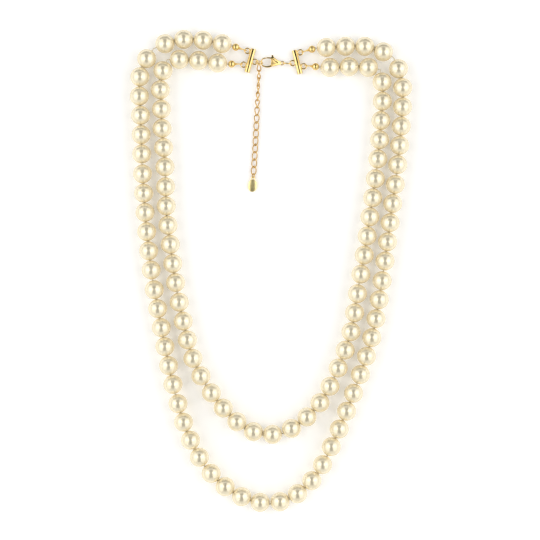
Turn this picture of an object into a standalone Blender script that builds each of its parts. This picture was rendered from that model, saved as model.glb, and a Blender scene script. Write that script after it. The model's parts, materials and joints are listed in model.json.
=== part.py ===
"""Two-strand pearl necklace lying flat: 107 pearls on two threads, two bars, a lobster clasp and an
extender chain with a blank tag.  Metres, +Z up; the necklace lies on z = 0 with the clasp at +Y."""
import math

import bmesh
import bpy
import numpy as np
from mathutils import Matrix, Vector

# Pearls and threads
PEARL_RADIUS = 0.004
PEARL_SIDES_RESOLUTION = 2
NECK_RADIUS = 0.0009
BORE_RADIUS = 0.0005
THREAD_RADIUS = 0.00025
KNOT_RADIUS = 0.00075
GROUP_GAP = 0.00025
BORE_OVERRUN = 0.001
RING_ANGLES = (30, 74, 106, 150)
CURVE_STEPS = 24

# Each strand's pearl count, the last pearl of each group, the gaps where the thread shows, and the route
OUTER_PEARLS = 59
OUTER_GROUPS = (4, 10, 16, 22, 26, 30, 34, 38, 44, 49, 55, 59)
OUTER_BARE_THREAD = {4: 0.0016, 55: 0.0012}
OUTER_ROUTE = [
    (-0.0284, 0.0964), (-0.0364, 0.0969), (-0.0447, 0.0952), (-0.0520, 0.0900), (-0.0550, 0.0815),
    (-0.0544, 0.0650), (-0.0540, 0.0485), (-0.0526, 0.0242), (-0.0500, 0.0000), (-0.0458, -0.0236),
    (-0.0410, -0.0472), (-0.0338, -0.0704), (-0.0256, -0.0840), (-0.0125, -0.0943), (0.0035, -0.0968),
    (0.0172, -0.0875), (0.0250, -0.0733), (0.0343, -0.0510), (0.0420, -0.0278), (0.0463, -0.0037),
    (0.0496, 0.0206), (0.0528, 0.0449), (0.0546, 0.0660), (0.0549, 0.0780), (0.0530, 0.0865),
    (0.0470, 0.0922), (0.0389, 0.0939), (0.0228, 0.0932)]
INNER_PEARLS = 48
INNER_GROUPS = (3, 9, 15, 20, 25, 29, 34, 40, 45, 48)
INNER_BARE_THREAD = {}
INNER_ROUTE = [
    (-0.0311, 0.0879), (-0.0390, 0.0887), (-0.0442, 0.0878), (-0.0468, 0.0826), (-0.0460, 0.0755),
    (-0.0456, 0.0596), (-0.0442, 0.0435), (-0.0439, 0.0274), (-0.0421, 0.0113), (-0.0399, -0.0050),
    (-0.0367, -0.0208), (-0.0329, -0.0363), (-0.0252, -0.0506), (-0.0142, -0.0632), (-0.0073, -0.0675),
    (0.0011, -0.0686), (0.0089, -0.0657), (0.0210, -0.0544), (0.0281, -0.0400), (0.0335, -0.0250),
    (0.0360, -0.0088), (0.0389, 0.0070), (0.0412, 0.0231), (0.0436, 0.0392), (0.0453, 0.0553),
    (0.0463, 0.0718), (0.0472, 0.0795), (0.0454, 0.0842), (0.0402, 0.0858), (0.0331, 0.0853),
    (0.0249, 0.0846)]

# Bars: low-domed rods with a flat back, two strand loops on one side and a clasp loop on the other
BAR_LENGTH = 0.0102
BAR_WIDTH = 0.0022
BAR_HEIGHT = 0.0020
BAR_WALL = 0.0007
BAR_EDGE = 0.00015
BAR_FLATNESS = 0.65
LOOP_RADIUS = 0.0011
LOOP_WIRE = 0.0003
CLASP_LOOP_OFFSET = 0.0020
STRAND_LOOP_OFFSET = 0.0022
LOOP_SPACING = 0.0060
LOOP_SHIFT = 0.0006
HARDWARE_HEIGHT = 0.0015
LEFT_BAR_CENTRE = (-0.0088, 0.0881)
LEFT_BAR_TURN = math.radians(-15.4)
RIGHT_BAR_CENTRE = (0.0109, 0.0875)
RIGHT_BAR_TURN = math.radians(194.3)

# Bead tips: a hollow ball with a thread hole, a cone neck and a closed hook
TIP_BALL_RADIUS = 0.00155
TIP_WALL = 0.0003
TIP_HOLE_RADIUS = 0.00048
TIP_LIP_LENGTH = 0.0001
TIP_NECK_RADIUS = 0.00028
TIP_HOOK_RADIUS = 0.00072
TIP_HOOK_WIRE = 0.0002
TIP_HOOK_DISTANCE = 0.00425
TIP_PEARL_DISTANCE = 0.00200
TIP_HEADINGS = {"outer_left": 164.3, "inner_left": 183.5, "outer_right": 12.4, "inner_right": -9.6}

# The thread inside a bead tip: distance from the ball's centre towards the hook, and radius
KNOT_PROFILE = ((-0.0009, THREAD_RADIUS), (-0.0005, KNOT_RADIUS), (0.0005, KNOT_RADIUS),
                (0.0008, THREAD_RADIUS))

# Jump ring, clasp and link
JUMP_RING_RADIUS = 0.0015
JUMP_RING_WIRE = 0.0002
JUMP_RING_LEAN = math.radians(60)
JUMP_RING_HEADING = math.radians(-9)
NOSE_SPAN = 0.00165
CLASP_THICKNESS = 0.0022
CLASP_EDGE = 0.00015
GATE_WIRE = 0.0003
LEVER_THICKNESS = 0.0009
LEVER_EDGE = 0.00006
LEVER_SLOT = 0.0013
PIN_RADIUS = 0.00035
PIN_CLEARANCE = 0.00006
PIN_HOLE_DEPTH = 0.006
SPRING_WIRE = 0.00011
EYELET_RADIUS = 0.00075
EYELET_WIRE = 0.00022
LINK_LENGTH = 0.00195
LINK_WIDTH = 0.00095
LINK_WIRE = 0.0002

# Clasp outlines in millimetres from the nose, +X towards the eyelet; the claw also has its wire's radii
MILLIMETRE = 0.001
CLAW = [(4.9, -1.0), (3.9, -1.5), (2.8, -1.78), (1.6, -1.7), (0.7, -1.35), (0.15, -0.75), (0.0, 0.0),
        (0.15, 0.8), (0.65, 1.45), (1.2, 1.75), (1.75, 1.87)]
CLAW_RADII = [0.52, 0.46, 0.39, 0.34, 0.29, 0.26, 0.25, 0.26, 0.28, 0.29, 0.26]
HOUSING = [(4.55, 1.15), (4.75, 1.5), (5.3, 1.45), (6.5, 0.75), (7.7, 0.2), (8.05, 0.0), (8.05, -0.45),
           (7.4, -0.6), (6.0, -0.95), (4.6, -1.35), (4.3, -0.9), (4.5, 0.0)]
SLOT = [(2.0, 0.35), (2.0, 3.5), (7.0, 3.5), (7.2, -0.05), (6.6, -0.35), (5.0, -0.45), (4.0, -0.3)]
LEVER = [(4.5, 2.2), (4.45, 3.0), (4.8, 3.05), (5.2, 2.1), (6.3, 1.3), (6.9, 0.75), (6.6, 0.3),
         (5.9, 0.2), (5.1, 0.2), (4.8, 0.75), (4.1, 1.35), (4.0, 2.1)]
GATE = [(4.75, 1.65), (3.6, 1.92), (2.75, 1.97), (2.2, 1.92)]
GATE_TAPER = (1.0, 1.0, 0.95, 0.8)
SPRING_LEAF = [(4.7, -0.12), (5.6, -0.2), (6.3, -0.12), (6.75, 0.03)]

# Extender chain: twisted oval links, a small ring and a domed oval tag
CHAIN_LINKS = 15
CHAIN_PITCH = 0.0031
CHAIN_WIRE = 0.00025
CHAIN_HALF_WIDTH = 0.0010
CHAIN_HALF_LENGTH = 0.00185
CHAIN_TWIST = 0.00038
CHAIN_SIDES = 14
CHAIN_ROLLS = (130, 110, 92, 80, 68, 54, 36, 18, 4, 0, 0, 0, 0, 0, 0)
CHAIN_HANG = 0.00127
CHAIN_ROUTE = [
    (-0.0051, 0.0823, 0.0018), (-0.0053, 0.0790, 0.00145),
    (-0.0058, 0.0700, 0.0013), (-0.0061, 0.0630, 0.0009), (-0.0066, 0.0535, 0.0007),
    (-0.0072, 0.0440, 0.0007), (-0.0080, 0.0340, 0.0007)]
TAG_RING_RADIUS = 0.0009
TAG_RING_WIRE = 0.0002
TAG_RING_OFFSET = (0.0, -0.00215, 0.00025)
TAG_RING_ROLL = math.radians(-53)
TAG_HALF_WIDTH = 0.00195
TAG_HALF_LENGTH = 0.00265
TAG_THICKNESS = 0.0006
TAG_CORNERS = 24
TAG_EDGE = 0.0001
TAG_OFFSET = (0.0, -0.0063, -0.0001)
TAG_LEAN = math.radians(5)
TAG_EYE_RADIUS = 0.00075
TAG_EYE_WIRE = 0.0002
TAG_EYE_OVERHANG = 0.0004

CURVE_SEGMENTS = 16

# Where a strand can fold across the necklace: left and right gaps, then the pearl groups below the fold
OUTER_FOLDS = (((10, 49), (3, 10)), ((16, 44), (4, 9)), ((22, 38), (5, 6, 7, 8)))
INNER_FOLDS = (((9, 40), (3, 8)), ((15, 34), (4, 7)), ((20, 29), (5, 6)))


def clear_scene():
    for item in list(bpy.data.objects):
        bpy.data.objects.remove(item, do_unlink=True)


def new_collection(name):
    group = bpy.data.collections.new(name)
    bpy.context.scene.collection.children.link(group)
    return group


def new_material(name, colour, metallic, roughness):
    finish = bpy.data.materials.new(name)
    finish.use_nodes = True
    shader = finish.node_tree.nodes["Principled BSDF"]
    shader.inputs["Base Color"].default_value = (*colour, 1.0)
    shader.inputs["Metallic"].default_value = metallic
    shader.inputs["Roughness"].default_value = roughness
    return finish


def add_object(name, mesh, finish, smooth_angle=40):
    """Put a mesh in the necklace's collection under its node name."""
    mesh.name = name
    mesh.materials.clear()
    mesh.materials.append(finish)
    mesh.shade_smooth()
    mesh.set_sharp_from_angle(angle=math.radians(smooth_angle))
    item = bpy.data.objects.new(name, mesh)
    parts.objects.link(item)
    return item


def curve_mesh(data):
    """Turn a curve into a closed mesh with its caps welded."""
    item = bpy.data.objects.new("curve", data)
    bpy.context.scene.collection.objects.link(item)
    bpy.context.view_layer.update()
    depsgraph = bpy.context.evaluated_depsgraph_get()
    mesh = bpy.data.meshes.new_from_object(item.evaluated_get(depsgraph))
    bpy.data.objects.remove(item, do_unlink=True)
    work = bmesh.new()
    work.from_mesh(mesh)
    bmesh.ops.remove_doubles(work, verts=work.verts, dist=1e-7)
    bmesh.ops.recalc_face_normals(work, faces=work.faces)
    work.to_mesh(mesh)
    work.free()
    return mesh


def tube_mesh(points, radii, cyclic=False, resolution=2):
    """A tube of the given radii along a polyline."""
    data = bpy.data.curves.new("tube", "CURVE")
    data.dimensions = "3D"
    data.twist_mode = "Z_UP"
    data.bevel_depth = max(radii)
    data.bevel_resolution = resolution
    data.use_fill_caps = True
    spline = data.splines.new("POLY")
    spline.points.add(len(points) - 1)
    for knot, place, radius in zip(spline.points, points, radii):
        knot.co = (*place, 1.0)
        knot.radius = radius / max(radii)
    spline.use_cyclic_u = cyclic
    return curve_mesh(data)


def plate_mesh(outline, half_thickness, edge):
    """A flat plate with rounded edges from an outline in the XY plane."""
    data = bpy.data.curves.new("plate", "CURVE")
    data.dimensions = "2D"
    data.fill_mode = "BOTH"
    data.extrude = half_thickness - edge
    data.bevel_depth = edge
    data.bevel_resolution = 1
    spline = data.splines.new("POLY")
    spline.points.add(len(outline) - 1)
    for knot, place in zip(spline.points, outline):
        knot.co = (*place, 0.0, 1.0)
    spline.use_cyclic_u = True
    return curve_mesh(data)


def primitive(kind, **settings):
    """A primitive's mesh, made by bmesh with its place baked in."""
    work = bmesh.new()
    getattr(bmesh.ops, kind)(work, **settings)
    mesh = bpy.data.meshes.new(kind)
    work.to_mesh(mesh)
    work.free()
    return mesh


def rod_mesh(radius, length, segments=CURVE_SEGMENTS):
    return primitive("create_cone", cap_ends=True, segments=segments, radius1=radius, radius2=radius,
                     depth=length)


def ring_mesh(radius, wire, segments=CURVE_SEGMENTS, width=None):
    """A closed wire ring in the XY plane, round or oval."""
    half_width = width or radius
    angles = [2 * math.pi * step / segments for step in range(segments)]
    points = [(radius * math.cos(angle), half_width * math.sin(angle), 0.0) for angle in angles]
    return tube_mesh(points, [wire] * segments, cyclic=True, resolution=1)


def oval(half_width, half_length, corners):
    """The corners of an oval outline, counter-clockwise."""
    angles = [2 * math.pi * step / corners for step in range(corners)]
    return [(half_width * math.cos(angle), half_length * math.sin(angle)) for angle in angles]


def moved(mesh, matrix):
    mesh.transform(matrix)
    return mesh


def shape(item, operation, meshes):
    """Join meshes to an object, or cut them from it, and apply the result."""
    tools = []
    for index, mesh in enumerate(meshes):
        tool = bpy.data.objects.new(f"{item.name}_tool_{index}", mesh)
        cutters.objects.link(tool)
        tool.hide_render = True
        tool.display_type = "WIRE"
        tools.append(tool)
        change = item.modifiers.new(f"{operation.lower()}_{index}", "BOOLEAN")
        change.operation = operation
        change.solver = "EXACT"
        change.object = tool
    bpy.context.view_layer.update()
    depsgraph = bpy.context.evaluated_depsgraph_get()
    mesh = bpy.data.meshes.new_from_object(item.evaluated_get(depsgraph))
    item.modifiers.clear()
    item.data = mesh
    mesh.name = item.name
    for tool in tools:
        bpy.data.objects.remove(tool, do_unlink=True)
    return item


def move_origin(item, place):
    """Put an object's origin on its joint's axis and leave its shape where it is."""
    bpy.context.view_layer.update()
    matrix = item.matrix_world.copy()
    local = matrix.inverted() @ Vector(place)
    item.data.transform(Matrix.Translation(-local))
    item.matrix_world = matrix @ Matrix.Translation(local)
    return item


def attach(item, parent):
    """Parent an object without moving it."""
    bpy.context.view_layer.update()
    item.parent = parent
    item.matrix_parent_inverse = parent.matrix_world.inverted()


def fold_empty(name, left, right, parent):
    """An empty half-way between two gaps, its X axis along the fold line through them."""
    pivot = bpy.data.objects.new(name, None)
    parts.objects.link(pivot)
    pivot.empty_display_size = PEARL_RADIUS
    pivot.location = (left + right) / 2
    pivot.rotation_euler = (0.0, 0.0, math.atan2(right.y - left.y, right.x - left.x))
    if parent:
        attach(pivot, parent)
    return pivot


# Strands

def smooth_path(points):
    """Centripetal Catmull-Rom curve through the route's points."""
    ends = np.vstack([2 * points[0] - points[1], points, 2 * points[-1] - points[-2]])
    path = []
    for index in range(1, len(ends) - 2):
        before, start, end, after = ends[index - 1:index + 3]
        span_a = math.sqrt(np.linalg.norm(start - before))
        span_b = math.sqrt(np.linalg.norm(end - start))
        span_c = math.sqrt(np.linalg.norm(after - end))
        before_slope = (start - before) / span_a - (end - before) / (span_a + span_b)
        after_slope = (after - end) / span_c - (after - start) / (span_b + span_c)
        middle_slope = (end - start) / span_b
        leave = span_b * (before_slope + middle_slope)
        arrive = span_b * (after_slope + middle_slope)
        for step in range(CURVE_STEPS):
            t = step / CURVE_STEPS
            ease = 3 * t**2 - 2 * t**3
            path.append((1 - ease) * start + (t**3 - 2 * t**2 + t) * leave
                        + ease * end + (t**3 - t**2) * arrive)
    path.append(points[-1])
    return np.array(path)


def walk(path, steps):
    """Points at the given chord lengths along the path, which runs straight on past its end."""
    ahead = path[-1] - path[-2]
    tail = path[-1] + ahead * (2 * sum(steps) / np.linalg.norm(ahead))
    track = np.vstack([path, tail])
    place = track[0]
    places = [place]
    index = 0
    for step in steps:
        while np.linalg.norm(track[index + 1] - place) < step:
            index += 1
        along = track[index + 1] - track[index]
        offset = track[index] - place
        a = along @ along
        b = 2 * along @ offset
        c = offset @ offset - step * step
        place = track[index] + along * ((math.sqrt(b * b - 4 * a * c) - b) / (2 * a))
        places.append(place)
    return np.array(places)


def bends(places):
    """The angle that the thread turns through at each gap between pearls."""
    runs = np.diff(places, axis=0)
    headings = np.arctan2(runs[:, 1], runs[:, 0])
    turns = (np.diff(headings) + math.pi) % (2 * math.pi) - math.pi
    return np.concatenate([[0.0], turns, [0.0]])


def lay_pearls(path, count, groups, bare_thread, pitch):
    """Gap points along the thread, and pearl centres between them; a bend opens its gap."""
    base = np.full(count + 1, pitch / 2)
    for last in groups:
        base[last] += GROUP_GAP / 2
    slack = np.zeros(count + 1)
    for gap, length in bare_thread.items():
        slack[gap] = length / 2
    half = base + slack
    for _ in range(12):
        gaps = walk(path, half[:-1] + half[1:])
        half = base / np.cos(bends(gaps) / 2) + slack
    share = half[:-1] / (half[:-1] + half[1:])
    centres = gaps[:-1] + np.diff(gaps, axis=0) * share[:, None]
    return gaps, centres


def fit_strand(route, count, groups, bare_thread):
    """Find the pitch that brings the last pearl to the end of the route."""
    points = np.array(route)
    path = smooth_path(points)
    ahead = path[-1] - path[-3]
    low = 2 * PEARL_RADIUS
    high = low * 1.05
    for _ in range(24):
        pitch = (low + high) / 2
        gaps, centres = lay_pearls(path, count, groups, bare_thread, pitch)
        if (gaps[-1] - path[-1]) @ ahead > 0:
            high = pitch
        else:
            low = pitch
    return gaps, centres


def lifted(place):
    return Vector((place[0], place[1], PEARL_RADIUS))


def pearl_group(name, gaps, centres, first, last):
    """Pearls first..last of a strand as one string of balls with a thread bore through them."""
    points = []
    radii = []
    end_reach = math.sqrt(PEARL_RADIUS**2 - NECK_RADIUS**2)
    band_radius = PEARL_RADIUS / math.sin(math.radians(RING_ANGLES[1]))
    for index in range(first - 1, last):
        centre = lifted(centres[index])
        axis = (lifted(gaps[index + 1]) - lifted(gaps[index])).normalized()
        if index == first - 1:
            points.append(centre - axis * end_reach)
            radii.append(NECK_RADIUS)
        else:
            points.append(lifted(gaps[index]))
            radii.append(NECK_RADIUS)
        for degrees in RING_ANGLES:
            angle = math.radians(degrees)
            points.append(centre - axis * PEARL_RADIUS * math.cos(angle))
            radii.append(band_radius * math.sin(angle))
        if index == last - 1:
            points.append(centre + axis * end_reach)
            radii.append(NECK_RADIUS)
    balls = tube_mesh(points, radii, resolution=PEARL_SIDES_RESOLUTION)
    bore_points = [lifted(place) for place in gaps[first - 1:last + 1]]
    bore_points[0] = bore_points[0] + (bore_points[0] - bore_points[1]).normalized() * BORE_OVERRUN
    bore_points[-1] = bore_points[-1] + (bore_points[-1] - bore_points[-2]).normalized() * BORE_OVERRUN
    bore = tube_mesh(bore_points, [BORE_RADIUS] * len(bore_points), resolution=1)
    return shape(add_object(name, balls, pearl_finish), "DIFFERENCE", [bore])


def strand(name, route, count, groups, bare_thread, folds, ends):
    """One strand: its pearl groups, its fold lines and its thread, knotted inside the bead tips."""
    left, right = ends
    full_route = [left["pearl_end"][:2], *route, right["pearl_end"][:2]]
    gaps, centres = fit_strand(full_route, count, groups, bare_thread)
    first = 1
    pieces = []
    for index, last in enumerate(groups):
        pieces.append(pearl_group(f"pearls_{name}_{index + 1:02d}", gaps, centres, first, last))
        first = last + 1
    pivot = None
    for index, ((left_gap, right_gap), members) in enumerate(folds):
        ends = [lifted(gaps[left_gap]), lifted(gaps[right_gap])]
        pivot = fold_empty(f"fold_{name}_{index + 1}", *ends, pivot)
        for member in members:
            attach(pieces[member - 1], pivot)
    start_knot = [(left["ball"] + left["axis"] * reach, radius) for reach, radius in reversed(KNOT_PROFILE)]
    middle = [(lifted(place), THREAD_RADIUS) for place in gaps]
    end_knot = [(right["ball"] + right["axis"] * reach, radius) for reach, radius in KNOT_PROFILE]
    points, radii = zip(*start_knot, *middle, *end_knot)
    add_object(f"thread_{name}", tube_mesh(points, radii, resolution=1), thread_finish)


# Bars and bead tips

def bar_matrix(centre, turn):
    return Matrix.Translation((centre[0], centre[1], 0.0)) @ Matrix.Rotation(turn, 4, "Z")


def strand_loop_places(up):
    """Where a bar's strand loops lie along it, the outer strand's first; up is 1 where +Y points up."""
    return (up * (LOOP_SHIFT + LOOP_SPACING / 2), up * (LOOP_SHIFT - LOOP_SPACING / 2))


def bar(name, matrix, up):
    """Low-domed rod along local Y with two strand loops at -X and a clasp loop at +X."""
    half = BAR_WIDTH / 2 - BAR_EDGE
    arc = [math.pi * step / 8 for step in range(9)]
    crown = BAR_HEIGHT - BAR_WALL - BAR_EDGE
    dome = [(-half * math.cos(a), BAR_WALL + crown * abs(math.sin(a))**BAR_FLATNESS) for a in arc]
    outline = [(-half, BAR_EDGE), *dome, (half, BAR_EDGE)]
    rod = plate_mesh(list(reversed(outline)), BAR_LENGTH / 2, BAR_EDGE)
    moved(rod, Matrix.Rotation(math.pi / 2, 4, "X"))
    loops = []
    places = [(-STRAND_LOOP_OFFSET, y) for y in strand_loop_places(up)]
    for x, y in [*places, (CLASP_LOOP_OFFSET, 0.0)]:
        loop = ring_mesh(LOOP_RADIUS, LOOP_WIRE, segments=14)
        loops.append(moved(loop, Matrix.Translation((x, y, HARDWARE_HEIGHT))))
    item = shape(add_object(name, rod, bright_gold), "UNION", loops)
    item.matrix_world = matrix
    return move_origin(item, strand_wire(matrix, 0.0))


def strand_wire(matrix, y):
    """The middle of a strand loop's outermost wire, which a bead tip hooks round."""
    return matrix @ Vector((-STRAND_LOOP_OFFSET - LOOP_RADIUS, y, HARDWARE_HEIGHT))


def clasp_wire(matrix):
    """The middle of the clasp loop's outermost wire, which a ring passes round."""
    return matrix @ Vector((CLASP_LOOP_OFFSET + LOOP_RADIUS, 0.0, HARDWARE_HEIGHT))


def tip_frame(hook, heading):
    """Where a bead tip's ball, axis and pearl end lie, from its hook and its heading on plan."""
    total = TIP_HOOK_DISTANCE + TIP_PEARL_DISTANCE
    rise = PEARL_RADIUS - hook.z
    reach = math.sqrt(total**2 - rise**2)
    angle = math.radians(heading)
    pearl_end = hook + Vector((reach * math.cos(angle), reach * math.sin(angle), rise))
    axis = (hook - pearl_end).normalized()
    ball = pearl_end + axis * TIP_PEARL_DISTANCE
    return {"axis": axis, "pearl_end": pearl_end, "ball": ball}


def bead_tip(name, frame):
    """Turned hollow ball and cone along local Z, with a hook ring in the vertical plane."""
    hole_angle = math.asin(TIP_HOLE_RADIUS / TIP_BALL_RADIUS)
    inner = TIP_BALL_RADIUS - TIP_WALL
    neck_end = TIP_HOOK_DISTANCE - TIP_HOOK_RADIUS
    profile = [(0.0, neck_end), (TIP_NECK_RADIUS, neck_end), (TIP_NECK_RADIUS, neck_end - 0.0007)]
    for degrees in range(35, 180, 27):
        angle = math.radians(degrees)
        if math.pi - angle > hole_angle + 0.1:
            profile.append((TIP_BALL_RADIUS * math.sin(angle), TIP_BALL_RADIUS * math.cos(angle)))
    lip = TIP_BALL_RADIUS * math.cos(hole_angle)
    profile.append((TIP_HOLE_RADIUS + TIP_WALL, -lip))
    profile.append((TIP_HOLE_RADIUS + TIP_WALL, -lip - TIP_LIP_LENGTH))
    profile.append((TIP_HOLE_RADIUS, -lip - TIP_LIP_LENGTH))
    profile.append((TIP_HOLE_RADIUS, -math.sqrt(inner**2 - TIP_HOLE_RADIUS**2)))
    for degrees in range(140, 20, -35):
        angle = math.radians(degrees)
        profile.append((inner * math.sin(angle), inner * math.cos(angle)))
    profile.append((0.0, inner))
    shell = turned_mesh(profile)
    hook = ring_mesh(TIP_HOOK_RADIUS, TIP_HOOK_WIRE, segments=12)
    moved(hook, Matrix.Translation((0.0, 0.0, TIP_HOOK_DISTANCE)) @ Matrix.Rotation(math.pi / 2, 4, "X"))
    item = shape(add_object(name, shell, bright_gold), "UNION", [hook])
    side = Vector((0.0, 0.0, 1.0)).cross(frame["axis"]).normalized()
    up = frame["axis"].cross(side)
    item.matrix_world = Matrix.Translation(frame["ball"]) @ Matrix(
        (-up, side, frame["axis"])).transposed().to_4x4()
    return item


def turned_mesh(profile, steps=8):
    """A profile in the XZ plane turned round Z with a Screw modifier."""
    work = bmesh.new()
    corners = [work.verts.new((x, 0.0, z)) for x, z in profile]
    for start, end in zip(corners, corners[1:]):
        work.edges.new((start, end))
    mesh = bpy.data.meshes.new("profile")
    work.to_mesh(mesh)
    work.free()
    item = bpy.data.objects.new("profile", mesh)
    bpy.context.scene.collection.objects.link(item)
    screw = item.modifiers.new("screw", "SCREW")
    screw.steps = steps
    screw.render_steps = steps
    screw.use_merge_vertices = True
    screw.merge_threshold = 0.00001
    bpy.context.view_layer.update()
    depsgraph = bpy.context.evaluated_depsgraph_get()
    result = bpy.data.meshes.new_from_object(item.evaluated_get(depsgraph))
    bpy.data.objects.remove(item, do_unlink=True)
    return result


# Clasp

def clasp_points(outline):
    """A clasp outline as points in space, given from its nose with +X towards the eyelet."""
    return [NOSE + Vector((x, y, 0.0)) * MILLIMETRE for x, y in outline]


def clasp_plate(outline, half_thickness, edge):
    """A plate in the clasp's plane."""
    corners = [(x * MILLIMETRE, y * MILLIMETRE) for x, y in reversed(outline)]
    return moved(plate_mesh(corners, half_thickness, edge), Matrix.Translation(NOSE))


def pin_hole():
    return moved(rod_mesh(PIN_RADIUS + PIN_CLEARANCE, PIN_HOLE_DEPTH), Matrix.Translation(PIVOT))


def clasp_body():
    """Claw wire, housing with a lever slot and a pin hole, and the eyelet."""
    wire = tube_mesh(clasp_points(CLAW), [radius * MILLIMETRE for radius in CLAW_RADII])
    eyelet = moved(ring_mesh(EYELET_RADIUS, EYELET_WIRE), Matrix.Translation(EYELET))
    item = add_object("clasp_body", clasp_plate(HOUSING, CLASP_THICKNESS / 2, CLASP_EDGE), bright_gold)
    shape(item, "UNION", [wire, eyelet])
    shape(item, "DIFFERENCE", [clasp_plate(SLOT, LEVER_SLOT / 2, 0.0), pin_hole()])
    return move_origin(item, EYELET_WIRE_PLACE)


def clasp_trigger():
    """Gate arm, thumb tab and tail, in one lever that turns on the pin."""
    arm = tube_mesh(clasp_points(GATE), [GATE_WIRE * taper for taper in GATE_TAPER])
    item = add_object("clasp_trigger", clasp_plate(LEVER, LEVER_THICKNESS / 2, LEVER_EDGE), bright_gold)
    shape(item, "UNION", [arm])
    shape(item, "DIFFERENCE", [pin_hole()])
    return move_origin(item, PIVOT)


def clasp_small_parts(body):
    """The pin that the trigger turns on and the leaf that closes it, both held by the clasp's body."""
    pin = add_object("clasp_pin", rod_mesh(PIN_RADIUS, CLASP_THICKNESS), bright_gold)
    pin.location = PIVOT
    leaf = tube_mesh(clasp_points(SPRING_LEAF), [SPRING_WIRE] * len(SPRING_LEAF), resolution=1)
    spring = add_object("clasp_spring", leaf, steel_finish)
    attach(pin, body)
    attach(spring, body)


def small_rings():
    """The jump ring that leans between the left bar, the clasp and the chain, and the clasp's link."""
    ring = add_object("jump_ring_left", ring_mesh(JUMP_RING_RADIUS, JUMP_RING_WIRE, 20), bright_gold)
    ring.location = JUMP_RING_CENTRE
    ring.rotation_euler = (-JUMP_RING_LEAN, 0.0, JUMP_RING_HEADING)
    move_origin(ring, LEFT_CLASP_WIRE)
    link = add_object("clasp_link", ring_mesh(LINK_LENGTH, LINK_WIRE, 20, width=LINK_WIDTH), bright_gold)
    link.location = CLASP_LINK_CENTRE
    link.rotation_euler = (math.pi / 2, 0.0, CLASP_LINK_HEADING)
    move_origin(link, RIGHT_CLASP_WIRE)


# Extender chain

def chain_frames():
    """A matrix for each chain link, the tag ring and the tag, walking down the chain's route."""
    path = smooth_path(np.array([tuple(CHAIN_HANG_POINT), *CHAIN_ROUTE]))
    places = walk(path, [CHAIN_HANG] + [CHAIN_PITCH] * CHAIN_LINKS)
    frames = []
    for index, roll in enumerate(CHAIN_ROLLS):
        behind, centre, ahead = [Vector(place) for place in places[index:index + 3]]
        along = (behind - ahead).normalized()
        side = along.cross(Vector((0.0, 0.0, 1.0))).normalized()
        up = side.cross(along)
        frame = Matrix.Translation(centre) @ Matrix((side, along, up)).transposed().to_4x4()
        frames.append(frame @ Matrix.Rotation(math.radians(roll), 4, "Y"))
    return frames


def chain_link_mesh():
    """A curb link: an oval of wire twisted out of its plane so that its neighbours lie flat."""
    points = []
    for step in range(CHAIN_SIDES):
        angle = 2 * math.pi * step / CHAIN_SIDES
        points.append((CHAIN_HALF_WIDTH * math.cos(angle), CHAIN_HALF_LENGTH * math.sin(angle),
                       CHAIN_TWIST * math.sin(2 * angle)))
    return tube_mesh(points, [CHAIN_WIRE] * CHAIN_SIDES, cyclic=True, resolution=1)


def chain(frames):
    """The links, each with its origin where it meets the link before it."""
    mesh = chain_link_mesh()
    joint = CHAIN_HANG_POINT
    for index, frame in enumerate(frames):
        link = add_object(f"chain_link_{index + 1:02d}", mesh.copy(), chain_gold)
        link.matrix_world = frame
        if index > 0:
            joint = (frames[index - 1].translation + frame.translation) / 2
        move_origin(link, joint)


def tag(last):
    """A thin domed oval with an eye, hanging from a small ring below the last link."""
    ring = add_object("tag_ring", ring_mesh(TAG_RING_RADIUS, TAG_RING_WIRE), chain_gold)
    ring.matrix_world = last @ Matrix.Translation(TAG_RING_OFFSET) @ Matrix.Rotation(TAG_RING_ROLL, 4, "Y")
    move_origin(ring, last @ Vector((0.0, -CHAIN_HALF_LENGTH, 0.0)))
    outline = oval(TAG_HALF_WIDTH, TAG_HALF_LENGTH, TAG_CORNERS)
    disc = plate_mesh(outline, TAG_THICKNESS / 2, TAG_EDGE)
    eye = ring_mesh(TAG_EYE_RADIUS, TAG_EYE_WIRE, segments=12)
    moved(eye, Matrix.Translation((0.0, TAG_HALF_LENGTH + TAG_EYE_OVERHANG, 0.0)))
    item = shape(add_object("tag", disc, tag_gold), "UNION", [eye])
    item.matrix_world = last @ Matrix.Translation(TAG_OFFSET) @ Matrix.Rotation(TAG_LEAN, 4, "X")
    move_origin(item, last @ Vector((0.0, TAG_RING_OFFSET[1] - TAG_RING_RADIUS, TAG_RING_WIRE)))


clear_scene()
parts = new_collection("pearl_necklace")
cutters = new_collection("cutters")
cutters.hide_render = True
pearl_finish = new_material("pearl", (0.88, 0.82, 0.68), 0.0, 0.2)
thread_finish = new_material("thread", (0.85, 0.80, 0.70), 0.0, 0.8)
bright_gold = new_material("bright_gold", (0.95, 0.75, 0.32), 1.0, 0.15)
chain_gold = new_material("chain_gold", (0.90, 0.62, 0.25), 1.0, 0.2)
tag_gold = new_material("tag_gold", (0.93, 0.78, 0.38), 1.0, 0.3)
steel_finish = new_material("spring_steel", (0.60, 0.60, 0.62), 1.0, 0.3)

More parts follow.
